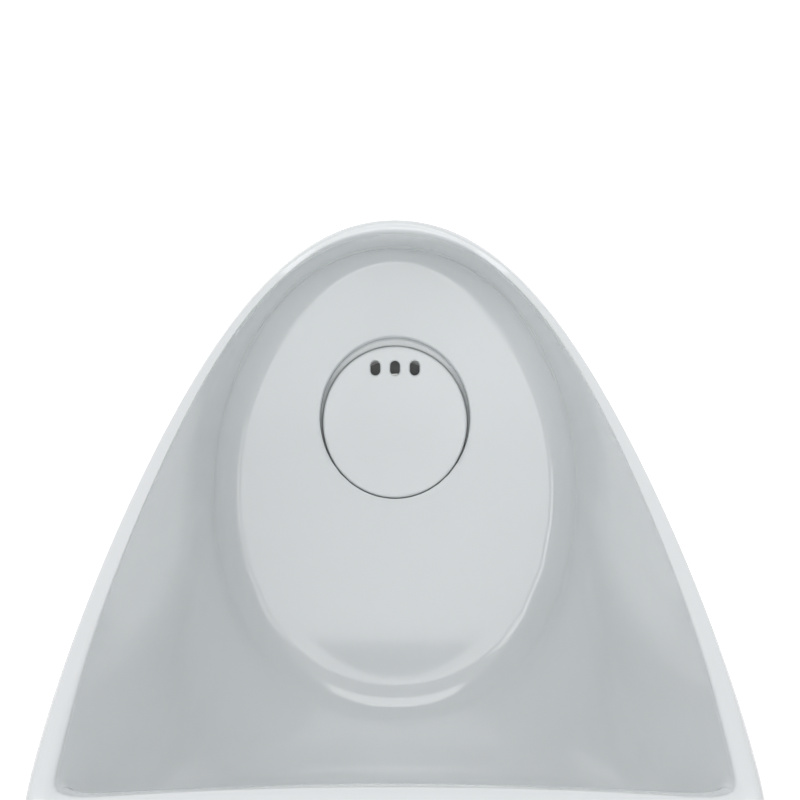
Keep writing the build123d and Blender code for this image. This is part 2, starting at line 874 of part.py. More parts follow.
with BuildPart() as side_caps:
    cap_axis = Axis((0, screw_y, side_screw_height), (1, 0, 0))
    with BuildSketch(Plane(origin=(0, screw_y, side_screw_height), x_dir=(1, 0, 0), z_dir=(0, -1, 0))):
        with BuildLine():
            skirt = Polyline(
                (cap_rim_face, 0),
                (cap_rim_face, cap_radius - cap_wall),
                (side_pocket_face, cap_radius - cap_wall),
                (side_pocket_face, cap_radius),
                (cap_rim_face, cap_radius),
            )
            dome = Bezier(
                skirt @ 1,
                (cap_rim_face + cap_dome, cap_radius),
                (cap_rim_face + cap_dome, cap_radius / 2),
                (cap_rim_face + cap_dome, 0),
            )
            Line(dome @ 1, skirt @ 0)
        make_face()
    revolve(axis=cap_axis)
    mirror(about=Plane.YZ)
save(side_caps, "side_caps")
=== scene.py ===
import json
import math

import bpy
import bmesh
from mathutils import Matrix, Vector


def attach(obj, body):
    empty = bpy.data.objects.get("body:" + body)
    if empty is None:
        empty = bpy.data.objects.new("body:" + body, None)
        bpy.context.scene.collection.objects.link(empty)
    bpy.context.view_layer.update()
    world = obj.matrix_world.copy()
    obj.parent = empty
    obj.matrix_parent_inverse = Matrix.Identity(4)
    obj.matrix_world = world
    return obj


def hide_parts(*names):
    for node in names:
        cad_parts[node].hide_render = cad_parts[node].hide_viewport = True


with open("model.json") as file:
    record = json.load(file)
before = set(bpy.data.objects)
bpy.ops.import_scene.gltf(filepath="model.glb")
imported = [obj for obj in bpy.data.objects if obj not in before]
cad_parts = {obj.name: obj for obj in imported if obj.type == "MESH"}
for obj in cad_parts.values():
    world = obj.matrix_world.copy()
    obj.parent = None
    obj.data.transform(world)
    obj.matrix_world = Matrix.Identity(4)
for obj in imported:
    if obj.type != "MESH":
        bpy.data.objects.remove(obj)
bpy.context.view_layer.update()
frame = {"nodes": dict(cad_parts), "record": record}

mm = 0.001
print("frame loaded,", len(frame["nodes"]), "nodes")

# china body, millimetres, depths measured forward from the wall
china = {
    "depth": 395.0,
    "height": 924.0,
    "lipHeight": 430.0,
    "bowlFloor": 300.0,
    "rimLead": (299.0, 430.0),       # control points of the side profile, depth and height
    "rimSweep": (200.0, 738.0),
    "brow": (104.0, 883.0),
    "browLead": (92.0, 901.0),
    "deckLead": (80.0, 908.0),
    "deckFront": (60.0, 912.0),
    "noseFullness": 0.832,
    "flankPull": 0.228,
    "flankStart": 0.10,
    "levels": (                      # height, half width, front depth
        (0.0, 132.0, 340.0), (50.0, 129.0, 336.5), (100.0, 127.5, 335.5), (150.0, 128.5, 339.0),
        (200.0, 132.5, 349.0), (240.0, 138.5, 363.0), (275.0, 146.0, 377.5), (310.0, 153.5, 388.0),
        (350.0, 161.0, 393.5), (390.0, 167.0, 394.95), (430.0, 171.5, 394.95), (480.0, 174.0, 394.95),
        (540.0, 175.8, 394.95), (600.0, 177.4, 394.95), (660.0, 179.0, 394.95), (720.0, 180.5, 394.95),
        (780.0, 182.0, 394.95), (840.0, 183.5, 394.95), (900.0, 184.6, 394.95), (960.0, 185.5, 394.95),
    ),
    "bowlHalf": 115.0,               # half width at the floor, and its flare with height
    "bowlFlare": 0.0884,
    "bowlFront": 387.0,
    "bowlDraft": 5.0,                # how far the front wall leans in at the floor
    "bowlBack": 49.0,
    "bowlSweep": 35.0,               # how far the back wall comes forward at the floor
    "sweepPower": 2.2,
    "sweepRise": 160.0,              # height in which both die away
    "bowlWidest": (230.0, 0.18),     # depth of the widest place, and how it moves back with height
    "bowlFullness": (0.60, 0.21),    # front of the bowl in plan: at the floor, and the change to the brow
    "bowlPull": (0.50, -0.27),
    "hoodOverhang": 46.0,
    "hoodStart": 430.0,
    "hoodRise": 150.0,
    "wall": 14.0,
    "rimOuter": 7.0,                 # soft glazed edge, outer and inner
    "rimInner": 8.0,
    "rimFit": (0.47, 0.5),           # the most that each edge takes of a narrow rim
    "rimDrop": (1.25, 1.1),          # how far each edge reaches down, in radii
    "hoodEdge": 6.5,                 # inner edge under the hood, and where it takes over
    "hoodEdgeStart": 830.0,
    "hoodEdgeRise": 50.0,
    "backEdge": 0.8,
    "footEdge": 1.5,
    "floorTangent": (10.0, 19.0),    # reach of the floor fillet, at the nose and at the sides
    "floorTurn": 1.3,                # how soon the nose's fillet widens to the sides' one
    "floorFillet": 0.98,             # height of the fillet, as a share of its reach
    "floorDish": 1.6,                # rise of the dished floor from the drain to the nose
    "floorDishBack": 0.2,            # share of that rise at the back
    "cornerRound": 2.15,             # back corners of the bowl: nearly an oval at the floor
    "cornerEase": 14.0,              # and squarer by this much at the hood
    "cornerRise": 1.05,
    "hoodArch": 6.0,                 # how far the hood's edge bows out in the middle
    "roof": 268.0,
    "recessDepth": 34.0,
    "recessLow": 250.0,
    "recessShoulder": 430.0,
    "recessTop": 800.0,
    "recessHalfLow": 118.0,
    "recessHalf": 148.0,
    "recessRadius": 18.0,
}

drain = {
    "depth": 270.0,
    "recessHalf": (50.3, 53.5),
    "recessShift": 3.4,
    "brinkHalf": (49.5, 53.3),       # rounded brink of the recess
    "brinkReach": 2.2,               # the wall's lean below the brink, and its most in a narrow place
    "brinkFit": 0.9,
    "brinkSoft": (0.75, 3.6),        # how full the brink's curve is, across and down
    "wallFoot": 294.2,
    "lipHalf": (47.3, 49.75),        # lip that closes in on the cover
    "lipTop": 292.9,
    "lipFoot": 291.0,
    "lipLanding": (0.3, 0.2),        # soft corner behind the lip: share of the way in, and rise
    "lipUndercut": 1.0,
    "recessFloor": 283.0,
    "floorEdge": 1.2,
    "seatRadius": 40.4,
    "wellEdge": 0.6,
    "holeEdge": 0.5,
    "wellStep": 30.0,
    "seatDepth": 3.0,
    "wellRadius": 35.0,
    "wellFloor": 215.0,
    "bossRadius": 46.0,
    "bossBottom": 203.0,
    "holeRun": 10.0,                 # how far the waste hole's cut runs past the boss
    "wasteHole": 25.0,
}

# holes through the china: place (across, depth, height), and pairs of distance along the axis and radius
holes = {
    "inlet": (0.0, 34.0, 705.0),
    "inletProfile": ((-60.0, 12.0), (90.0, 12.0)),
    "side": (113.0, 42.0, 28.0),
    "sideProfile": ((-15.0, 5.0), (10.5, 5.0), (10.5, 11.0), (40.0, 11.0)),
}

meshing = {
    "flank": 76,                     # columns on half the outer outline: flank, side, back
    "side": 8,
    "back": 20,
    "outerRows": 64,
    "innerRows": 60,
    "rimRows": 10,
    "edgeRows": 6,
    "filletRows": 12,
    "floorRows": 14,
    "brinkRows": 8,
    "softRows": 3,                   # small soft corners in the drain
    "hollowRows": (-6.0, 0.0, 25.0, 50.0, 75.0, 100.0, 125.0, 150.0, 175.0, 200.0, 220.0, 240.0, 255.0),
    "turnSteps": 64,
    "cornerSteps": 8,
    "topSpan": (400.0, 940.0),       # heights between which the outer skin meets the side profile
    "mouthSpan": (380.0, 935.0),     # and the bowl
    "matchHeight": 860.0,            # where the bowl's columns are set against the outer ones
    "matchCentre": 190.0,
    "behind": (6.0, 20.0),           # how far the pedestal's and the recess's cutters run out of the back
    "skim": 0.4,                     # faces this near the back or the foot are bare
}


def yAt(depth):
    return china["depth"] / 2 - depth


def bez(points, t):
    a, b, c, d = points
    s = 1 - t
    return tuple(s * s * s * a[k] + 3 * s * s * t * b[k] + 3 * s * t * t * c[k] + t * t * t * d[k]
                 for k in range(len(a)))


def halving(isShort, low, high, rounds=40):
    # the place up to which isShort holds
    for _ in range(rounds):
        middle = (low + high) / 2
        if isShort(middle):
            low = middle
        else:
            high = middle
    return (low + high) / 2


def ease(share):
    share = min(max(share, 0.0), 1.0)
    return share * share * (3 - 2 * share)


def splineTable(rows):
    # natural cubic through the levels, one set of slopes for each column of values
    heights = [row[0] for row in rows]
    count = len(heights)
    bends = []
    for k in (1, 2):
        values = [row[k] for row in rows]
        lower, diag, upper, rhs = [0.0] * count, [1.0] * count, [0.0] * count, [0.0] * count
        for i in range(1, count - 1):
            before, after = heights[i] - heights[i - 1], heights[i + 1] - heights[i]
            lower[i], diag[i], upper[i] = before, 2 * (before + after), after
            rhs[i] = 6 * ((values[i + 1] - values[i]) / after - (values[i] - values[i - 1]) / before)
        for i in range(1, count):
            factor = lower[i] / diag[i - 1]
            diag[i] -= factor * upper[i - 1]
            rhs[i] -= factor * rhs[i - 1]
        bend = [0.0] * count
        for i in range(count - 1, -1, -1):
            bend[i] = (rhs[i] - (upper[i] * bend[i + 1] if i < count - 1 else 0.0)) / diag[i]
        bends.append(bend)
    return heights, bends


levelHeights, levelBends = splineTable(china["levels"])


def levelAt(height):
    # half width and front depth of the outer skin at a height
    i = 0
    while i < len(levelHeights) - 2 and height > levelHeights[i + 1]:
        i += 1
    step = levelHeights[i + 1] - levelHeights[i]
    b = (height - levelHeights[i]) / step
    a = 1 - b
    found = []
    for k in (1, 2):
        low, high = china["levels"][i][k], china["levels"][i + 1][k]
        bend = levelBends[k - 1]
        found.append(a * low + b * high
                     + ((a ** 3 - a) * bend[i] + (b ** 3 - b) * bend[i + 1]) * step * step / 6)
    return found


def profileHeight(depth):
    # height of rim, brow and deck at a depth
    if depth <= china["deckFront"][0]:
        share = max(depth, 0.0) / china["deckFront"][0]
        return china["height"] + share * (china["deckFront"][1] - china["height"])
    if depth <= china["brow"][0]:
        curve = (china["brow"], china["browLead"], china["deckLead"], china["deckFront"])
    else:
        curve = ((china["depth"], china["lipHeight"]), china["rimLead"], china["rimSweep"], china["brow"])
    return bez(curve, halving(lambda t: bez(curve, t)[0] > depth, 0.0, 1.0))[1]


def outerPoint(height, place, inset=0.0):
    # place is (run, share): run 0 the flank, 1 the straight side, 2 the back
    half, front = levelAt(height)
    half -= inset
    lead = front - inset
    run, share = place
    if run == 0:
        x, depth = bez(((0.0, lead), (china["noseFullness"] * half, lead),
                        (half, china["flankPull"] * front), (half, china["flankStart"] * front)), share)
    elif run == 1:
        x, depth = half, china["flankStart"] * front * (1 - share)
    else:
        x, depth = half * (1 - share), 0.0
    return x, depth


def bowlPoint(height, place):
    # place is (run, share): run 0 the front flank, 1 the back
    rise = height - china["bowlFloor"]
    tall = rise / (china["brow"][1] - china["bowlFloor"])
    half = china["bowlHalf"] + china["bowlFlare"] * rise
    hood = ease((rise - china["hoodStart"]) / china["hoodRise"])
    low = 1 - rise / china["sweepRise"]
    front = china["bowlFront"] - china["bowlDraft"] * ease(low)
    sweep = max(low, 0.0) ** china["sweepPower"]
    back = china["bowlBack"] + china["bowlSweep"] * sweep + china["hoodOverhang"] * hood
    widest = china["bowlWidest"][0] - china["bowlWidest"][1] * rise
    fullness = china["bowlFullness"][0] + china["bowlFullness"][1] * tall
    pull = china["bowlPull"][0] + china["bowlPull"][1] * tall
    run, share = place
    if run == 0:
        return bez(((0.0, front), (fullness * half, front),
                    (half, widest + pull * (front - widest)), (half, widest)), share)
    # back: an oval at the floor that squares up towards the hood
    power = 2.0 / (china["cornerRound"] + china["cornerEase"] * ease(tall * china["cornerRise"]))
    turn = math.pi / 2 * share
    x = half * math.cos(turn) ** power
    arch = china["hoodArch"] * hood * (x / half) ** 2
    return x, widest - (widest - back + arch) * math.sin(turn) ** power


def turnOf(point, centre):
    # 0 towards the nose, pi towards the wall
    return math.atan2(point[0], point[1] - centre)


def placesFor(places, height, centre):
    # share of each bowl column, so that it faces the same way as the outer column
    split = turnOf(bowlPoint(height, (0, 1.0)), centre)
    matched = []
    for place in places:
        goal = turnOf(outerPoint(height, place), centre)
        run = 0 if goal <= split else 1
        matched.append((run, halving(
            lambda share: turnOf(bowlPoint(height, (run, share)), centre) < goal, 0.0, 1.0)))
    matched[0] = (0, 0.0)
    matched[-1] = (1, 1.0)
    return matched


def edgeArc(start, corner, end, rows):
    # rounded edge from start to end, bulging to the corner
    lead = 0.56
    a = start
    b = start + (corner - start) * lead
    c = end + (corner - end) * lead
    return [Vector(bez((a, b, c, end), j / rows)) for j in range(1, rows)]


def place3(point, height):
    return Vector((point[0], yAt(point[1]), height))


def chinaColumn(place, inner):
    # one column of the body: foot, outer skin, rim, bowl wall, floor, drain well
    edge = meshing["edgeRows"]
    # where the outer skin and the bowl meet the side profile
    top = halving(lambda height: profileHeight(outerPoint(height, place)[1]) > height,
                  *meshing["topSpan"], rounds=36)
    mouth = halving(lambda height: profileHeight(bowlPoint(height, inner)[1]) > height,
                    *meshing["mouthSpan"], rounds=36)
    outerTop = place3(outerPoint(top, place), top)
    innerTop = place3(bowlPoint(mouth, inner), mouth)

    def across(share):
        point = outerTop.lerp(innerTop, share)
        point.z = profileHeight(china["depth"] / 2 - point.y)
        return point

    width = (innerTop - outerTop).length
    atBack = place[0] == 2
    outerRadius = china["backEdge"] if atBack else min(china["rimOuter"], china["rimFit"][0] * width)
    hood = ease((mouth - china["hoodEdgeStart"]) / china["hoodEdgeRise"])
    innerRadius = min(china["rimInner"] + hood * (china["hoodEdge"] - china["rimInner"]),
                      china["rimFit"][1] * width)
    shoulder = top - outerRadius * (1.0 if atBack else china["rimDrop"][0])
    column = []
    # foot
    foot = china["footEdge"]
    column.append(place3(outerPoint(0.0, place, 0.0 if atBack else foot), 0.0))
    column.append(place3(outerPoint(foot, place), foot))
    # outer skin
    for j in range(1, meshing["outerRows"] + 1):
        height = foot + (shoulder - foot) * j / meshing["outerRows"]
        column.append(place3(outerPoint(height, place), height))
    # outer edge, rim, inner edge
    startShare, endShare = outerRadius / width, 1 - innerRadius / width
    column += edgeArc(column[-1], outerTop, across(startShare), edge)
    for j in range(meshing["rimRows"] + 1):
        column.append(across(startShare + (endShare - startShare) * j / meshing["rimRows"]))
    sill = mouth - innerRadius * china["rimDrop"][1]
    column += edgeArc(column[-1], innerTop, place3(bowlPoint(sill, inner), sill), edge)
    # bowl wall down to the floor fillet
    base = place3(bowlPoint(china["bowlFloor"], inner), china["bowlFloor"])
    centre = Vector((0.0, yAt(drain["depth"] + drain["recessShift"]), china["bowlFloor"]))
    inward = (centre - base).normalized()
    nearNose, nearSide = china["floorTangent"]
    sideways = ease(abs(inward.x) * china["floorTurn"] if inward.y > 0 else 1.0)
    tangent = nearNose + (nearSide - nearNose) * sideways
    fillet = base.z + tangent * china["floorFillet"]
    for j in range(meshing["innerRows"] + 1):
        share = j / meshing["innerRows"]
        height = sill + (fillet - sill) * share
        column.append(place3(bowlPoint(height, inner), height))
    floorStart = base + inward * tangent
    toward = floorStart - centre
    turn = math.atan2(toward.x / drain["recessHalf"][0], -toward.y / drain["recessHalf"][1])

    def oval(half, shift, height):
        return Vector((half[0] * math.sin(turn),
                       yAt(drain["depth"] + shift) - half[1] * math.cos(turn), height))

    # dished floor, from the fillet to the brink of the oval recess
    brink = oval(drain["brinkHalf"], drain["recessShift"], china["bowlFloor"])
    atTheBack = china["floorDishBack"]
    dish = china["floorDish"] * (atTheBack + (1 - atTheBack) * ease(0.5 + 0.5 * math.cos(turn)))
    up = Vector((0.0, 0.0, dish))
    slope = 2 * dish / (floorStart - brink).length
    # the fillet's corner lies on the wall's own line, at the floor's height there
    fall = column[-1] - column[-2]
    drop = column[-1].z - (base.z + dish + slope * tangent)
    column += edgeArc(column[-1], column[-1] + fall * (drop / -fall.z), floorStart + up,
                      meshing["filletRows"])
    for j in range(meshing["floorRows"] + 1):
        share = j / meshing["floorRows"]
        point = floorStart.lerp(brink, share)
        point.z += dish * (1 - share) ** 2
        column.append(point)
    # rounded brink, short wall, shallow lip that closes in on the cover, then the wall down to the ledge
    lip = oval(drain["lipHalf"], 0.0, drain["lipTop"])
    toLip = Vector((lip.x - brink.x, lip.y - brink.y, 0.0))
    reach = min(drain["brinkReach"], drain["brinkFit"] * toLip.length)
    foot = brink + toLip.normalized() * reach
    foot.z = drain["wallFoot"]
    fullAcross, fullDown = drain["brinkSoft"]
    curve = (brink, brink + toLip.normalized() * fullAcross * reach,
             foot + Vector((0.0, 0.0, fullDown)), foot)
    for j in range(1, meshing["brinkRows"] + 1):
        column.append(Vector(bez(curve, j / meshing["brinkRows"])))
    landing = foot.lerp(lip, drain["lipLanding"][0])
    landing.z = drain["lipTop"] + drain["lipLanding"][1]
    column += edgeArc(foot, Vector((foot.x, foot.y, landing.z)), landing, meshing["softRows"])
    column += [landing, lip, oval(drain["lipHalf"], 0.0, drain["lipFoot"])]
    half, shift, floorEdge = drain["recessHalf"], drain["recessShift"], drain["floorEdge"]
    column.append(oval(half, shift, drain["lipFoot"] - drain["lipUndercut"]))
    wallFoot = oval(half, shift, drain["recessFloor"] + floorEdge)
    column.append(wallFoot)
    ledge = oval((half[0] - floorEdge, half[1] - floorEdge), shift, drain["recessFloor"])
    column += edgeArc(wallFoot, oval(half, shift, drain["recessFloor"]), ledge, meshing["softRows"])
    column.append(ledge)
    # round seat, well and waste hole about the drain's axis
    seatCentre = Vector((0.0, yAt(drain["depth"]), 0.0))
    spin = math.atan2(ledge.x, seatCentre.y - ledge.y)

    def roundAt(radius, height):
        return Vector((radius * math.sin(spin), seatCentre.y - radius * math.cos(spin), height))

    seat, seatFloor = drain["seatRadius"], drain["recessFloor"] - drain["seatDepth"]
    well, hole = drain["wellRadius"], drain["wasteHole"]
    soft, holeSoft = drain["wellEdge"], drain["holeEdge"]
    column += [roundAt(seat + soft, drain["recessFloor"]), roundAt(seat, drain["recessFloor"] - soft),
               roundAt(seat, seatFloor), roundAt(well + soft, seatFloor), roundAt(well, seatFloor - soft),
               roundAt(well, drain["wellFloor"] + drain["wellStep"]), roundAt(well, drain["wellFloor"]),
               roundAt(hole + holeSoft, drain["wellFloor"]), roundAt(hole, drain["wellFloor"] - holeSoft),
               roundAt(hole, drain["bossBottom"] - drain["holeRun"])]
    return column


def meshFrom(name, points, faces):
    mesh = bpy.data.meshes.new(name)
    mesh.from_pydata([tuple(point * mm) for point in points], [], faces)
    mesh.update()
    piece = bpy.data.objects.new(name, mesh)
    bpy.context.collection.objects.link(piece)
    return piece


def loopMesh(name, columns):
    # closed skin from columns round a loop, capped at both ends
    count, rows = len(columns), len(columns[0])
    points = [point for column in columns for point in column]
    faces = []
    for i in range(count):
        after = (i + 1) % count
        for j in range(rows - 1):
            faces.append((i * rows + j, after * rows + j, after * rows + j + 1, i * rows + j + 1))
    faces.append(tuple(i * rows for i in reversed(range(count))))
    faces.append(tuple(i * rows + rows - 1 for i in range(count)))
    return meshFrom(name, points, faces)


def mirrored(columns):
    # the other half of a set of half columns that start and end on the middle plane
    twins = [[Vector((-point.x, point.y, point.z)) for point in column] for column in columns[1:-1]]
    return columns + twins[::-1]


def smoothByAngle(piece, degrees):
    for face in piece.data.polygons:
        face.use_smooth = True
    piece.data.set_sharp_from_angle(angle=math.radians(degrees))


def fixNormals(piece):
    work = bmesh.new()
    work.from_mesh(piece.data)
    bmesh.ops.recalc_face_normals(work, faces=work.faces)
    work.to_mesh(piece.data)
    work.free()


def cutWith(piece, cutter, look):
    fixNormals(cutter)
    change = piece.modifiers.new("cut", "BOOLEAN")
    change.operation = "DIFFERENCE"
    change.solver = "EXACT"
    change.object = cutter
    change.material_mode = "TRANSFER"
    cutter.data.materials.append(look)
    bpy.context.view_layer.update()
    graph = bpy.context.evaluated_depsgraph_get()
    result = bpy.data.meshes.new_from_object(piece.evaluated_get(graph))
    piece.modifiers.remove(change)
    old = piece.data
    piece.data = result
    bpy.data.meshes.remove(old)
    bpy.data.objects.remove(cutter)


def pedestalCutter():
    # hollow of the pedestal, open at the back and the foot, round the boss of the drain well
    past = china["wall"] + meshing["behind"][0]
    columns = []
    for place in chinaPlaces:
        column = []
        for height in meshing["hollowRows"] + (china["roof"],):
            x, depth = outerPoint(max(height, 0.0), place, china["wall"])
            if place[0] == 1:
                depth = depth - past * place[1]
            elif place[0] == 2:
                depth = -past
            column.append(place3((x, depth), height))
        roofPoint = column[-1]
        spin = math.atan2(roofPoint.x, yAt(drain["depth"]) - roofPoint.y)
        for height in (china["roof"], drain["bossBottom"]):
            column.append(Vector((drain["bossRadius"] * math.sin(spin),
                                  yAt(drain["depth"]) - drain["bossRadius"] * math.cos(spin), height)))
        columns.append(column)
    return loopMesh("pedestalCutter", mirrored(columns))


def recessCutter():
    # recess in the back, narrower below the shoulder, with round upper corners
    outline = [(-china["recessHalfLow"], china["recessLow"]), (china["recessHalfLow"], china["recessLow"]),
               (china["recessHalf"], china["recessShoulder"])]
    radius, steps = china["recessRadius"], meshing["cornerSteps"]
    for side in (1, -1):
        corner = (side * (china["recessHalf"] - radius), china["recessTop"] - radius)
        for j in range(steps + 1):
            turn = math.pi / 2 * j / steps if side == 1 else math.pi / 2 * (1 + j / steps)
            outline.append((corner[0] + radius * math.cos(turn), corner[1] + radius * math.sin(turn)))
    outline.append((-china["recessHalf"], china["recessShoulder"]))
    count = len(outline)
    points = [Vector((x, yAt(china["recessDepth"]), z)) for x, z in outline]
    points += [Vector((x, yAt(-meshing["behind"][1]), z)) for x, z in outline]
    faces = [tuple(range(count)), tuple(reversed(range(count, 2 * count)))]
    faces += [(i, (i + 1) % count, count + (i + 1) % count, count + i) for i in range(count)]
    return meshFrom("recessCutter", points, faces)


def turnedCutter(name, profile, origin, axis):
    # solid of revolution about a level axis
    axis = Vector(axis)
    side = Vector((0, 0, 1))
    cross = axis.cross(side)
    columns = []
    for i in range(meshing["turnSteps"]):
        turn = 2 * math.pi * i / meshing["turnSteps"]
        out = side * math.cos(turn) + cross * math.sin(turn)
        columns.append([Vector(origin) + axis * along + out * radius for along, radius in profile])
    return loopMesh(name, columns)


# glazes and finishes
surface = {
    "reliefGlaze": 0.0004,           # depth of the bump at full strength, metres
    "reliefPlastic": 0.0003,
    "reliefMetal": 0.0002,
    "glazeIndex": 1.5,
    "coatRough": 0.03,
    "stops": (0.3, 0.7),             # where a noise turns from dark to light
}


def newMaterial(name):
    material = bpy.data.materials.new(name)
    material.use_nodes = True
    tree = material.node_tree
    tree.nodes.clear()
    shader = tree.nodes.new("ShaderNodeBsdfPrincipled")
    output = tree.nodes.new("ShaderNodeOutputMaterial")
    tree.links.new(shader.outputs["BSDF"], output.inputs["Surface"])
    return material, tree, shader


def addNoise(tree, scale, detail, stretch=(1.0, 1.0, 1.0)):
    place = tree.nodes.new("ShaderNodeTexCoord")
    mapping = tree.nodes.new("ShaderNodeMapping")
    mapping.inputs["Scale"].default_value = stretch
    noise = tree.nodes.new("ShaderNodeTexNoise")
    noise.inputs["Scale"].default_value = scale
    noise.inputs["Detail"].default_value = detail
    tree.links.new(place.outputs["Object"], mapping.inputs["Vector"])
    tree.links.new(mapping.outputs["Vector"], noise.inputs["Vector"])
    return noise


def addRamp(tree, source, low, high):
    ramp = tree.nodes.new("ShaderNodeValToRGB")
    for stop, position, tone in zip(ramp.color_ramp.elements, surface["stops"], (low, high)):
        stop.position = position
        stop.color = (*tone, 1.0)
    tree.links.new(source, ramp.inputs["Fac"])
    return ramp


def addRange(tree, source, low, high):
    scaled = tree.nodes.new("ShaderNodeMapRange")
    scaled.inputs["To Min"].default_value = low
    scaled.inputs["To Max"].default_value = high
    tree.links.new(source, scaled.inputs["Value"])
    return scaled


def addBump(tree, shader, source, strength, distance):
    bump = tree.nodes.new("ShaderNodeBump")
    bump.inputs["Strength"].default_value = strength
    bump.inputs["Distance"].default_value = distance
    tree.links.new(source, bump.inputs["Height"])
    tree.links.new(bump.outputs["Normal"], shader.inputs["Normal"])


def addTone(tree, shader, noise, look):
    # colour and roughness from one noise
    tone = addRamp(tree, noise.outputs["Fac"], look["dark"], look["light"])
    tree.links.new(tone.outputs["Color"], shader.inputs["Base Color"])
    rough = addRange(tree, noise.outputs["Fac"], *look["rough"])
    tree.links.new(rough.outputs["Result"], shader.inputs["Roughness"])


def glazeMaterial(name, look):
    # vitreous china: a very even cool white under clear glaze, with faint thickness clouds and ripple
    material, tree, shader = newMaterial(name)
    clouds = addNoise(tree, look["cloudScale"], detail=4.0)
    tone = addRamp(tree, clouds.outputs["Fac"], look["dark"], look["light"])
    tree.links.new(tone.outputs["Color"], shader.inputs["Base Color"])
    fine = addNoise(tree, look["rippleScale"], detail=2.0)
    rough = addRange(tree, fine.outputs["Fac"], *look["rough"])
    tree.links.new(rough.outputs["Result"], shader.inputs["Roughness"])
    addBump(tree, shader, fine.outputs["Fac"], look["ripple"], surface["reliefGlaze"])
    shader.inputs["IOR"].default_value = surface["glazeIndex"]
    shader.inputs["Coat Weight"].default_value = look["coat"]
    shader.inputs["Coat Roughness"].default_value = surface["coatRough"]
    return material


def plasticMaterial(name, look):
    material, tree, shader = newMaterial(name)
    mottle = addNoise(tree, look["scale"], detail=5.0)
    addTone(tree, shader, mottle, look)
    addBump(tree, shader, mottle.outputs["Fac"], look["bump"], surface["reliefPlastic"])
    return material


def metalMaterial(name, look):
    material, tree, shader = newMaterial(name)
    streaks = addNoise(tree, look["scale"], detail=6.0, stretch=look["stretch"])
    addTone(tree, shader, streaks, look)
    addBump(tree, shader, streaks.outputs["Fac"], look["bump"], surface["reliefMetal"])
    shader.inputs["Metallic"].default_value = 1.0
    return material


whiteGlaze = glazeMaterial("whiteGlaze", {
    "cloudScale": 3.0, "dark": (0.845, 0.868, 0.874), "light": (0.865, 0.885, 0.89),
    "rippleScale": 14.0, "ripple": 0.06, "rough": (0.07, 0.12), "coat": 0.35,
})
coverGlaze = glazeMaterial("coverGlaze", {
    "cloudScale": 9.0, "dark": (0.875, 0.893, 0.897), "light": (0.89, 0.905, 0.91),
    "rippleScale": 40.0, "ripple": 0.05, "rough": (0.06, 0.12), "coat": 0.4,
})
bareChina = plasticMaterial("bareChina", {
    "scale": 90.0, "dark": (0.76, 0.74, 0.70), "light": (0.84, 0.825, 0.79),
    "rough": (0.78, 0.92), "bump": 0.3,
})
finishes = {
    "white_glaze": whiteGlaze,
    "cover_glaze": coverGlaze,
    "trap_plastic": plasticMaterial("trapPlastic", {
        "scale": 120.0, "dark": (0.175, 0.18, 0.18), "light": (0.20, 0.205, 0.205),
        "rough": (0.32, 0.42), "bump": 0.04}),
    "pipe_plastic": plasticMaterial("pipePlastic", {
        "scale": 160.0, "dark": (0.40, 0.41, 0.42), "light": (0.45, 0.46, 0.47),
        "rough": (0.42, 0.52), "bump": 0.06}),
    "black_rubber": plasticMaterial("blackRubber", {
        "scale": 220.0, "dark": (0.018, 0.018, 0.019), "light": (0.03, 0.03, 0.031),
        "rough": (0.6, 0.75), "bump": 0.15}),
    "cap_plastic": plasticMaterial("capPlastic", {
        "scale": 140.0, "dark": (0.82, 0.84, 0.845), "light": (0.85, 0.87, 0.875),
        "rough": (0.16, 0.22), "bump": 0.02}),
    "stainless": metalMaterial("stainless", {
        "scale": 60.0, "stretch": (1.0, 30.0, 30.0), "dark": (0.50, 0.50, 0.49), "light": (0.62, 0.62, 0.61),
        "rough": (0.24, 0.38), "bump": 0.08}),
    "chrome": metalMaterial("chrome", {
        "scale": 25.0, "stretch": (1.0, 1.0, 1.0), "dark": (0.80, 0.81, 0.82), "light": (0.84, 0.85, 0.86),
        "rough": (0.05, 0.09), "bump": 0.01}),
    "brass": metalMaterial("brass", {
        "scale": 50.0, "stretch": (30.0, 1.0, 30.0), "dark": (0.58, 0.42, 0.17), "light": (0.74, 0.56, 0.26),
        "rough": (0.24, 0.4), "bump": 0.08}),
    "zinc_steel": metalMaterial("zincSteel", {
        "scale": 34.0, "stretch": (1.0, 1.0, 1.0), "dark": (0.52, 0.53, 0.55), "light": (0.68, 0.69, 0.70),
        "rough": (0.28, 0.46), "bump": 0.05}),
}

chinaPlaces = [(0, i / meshing["flank"]) for i in range(meshing["flank"])]
chinaPlaces += [(1, i / meshing["side"]) for i in range(meshing["side"])]
chinaPlaces += [(2, i / meshing["back"]) for i in range(meshing["back"] + 1)]
bowlPlaces = placesFor(chinaPlaces, meshing["matchHeight"], meshing["matchCentre"])
chinaBody = loopMesh("chinaBody", mirrored([
    chinaColumn(place, inner) for place, inner in zip(chinaPlaces, bowlPlaces)]))
chinaBody.data.materials.append(whiteGlaze)
fixNormals(chinaBody)
cutWith(chinaBody, pedestalCutter(), bareChina)
cutWith(chinaBody, recessCutter(), bareChina)
across, depth, height = holes["inlet"]
cutWith(chinaBody, turnedCutter(
    "inletCutter", holes["inletProfile"], (across, yAt(depth), height), (0, -1, 0)), whiteGlaze)
across, depth, height = holes["side"]
for side in (-1, 1):
    cutWith(chinaBody, turnedCutter(
        "sideCutter", holes["sideProfile"], (side * across, yAt(depth), height), (side, 0, 0)), bareChina)
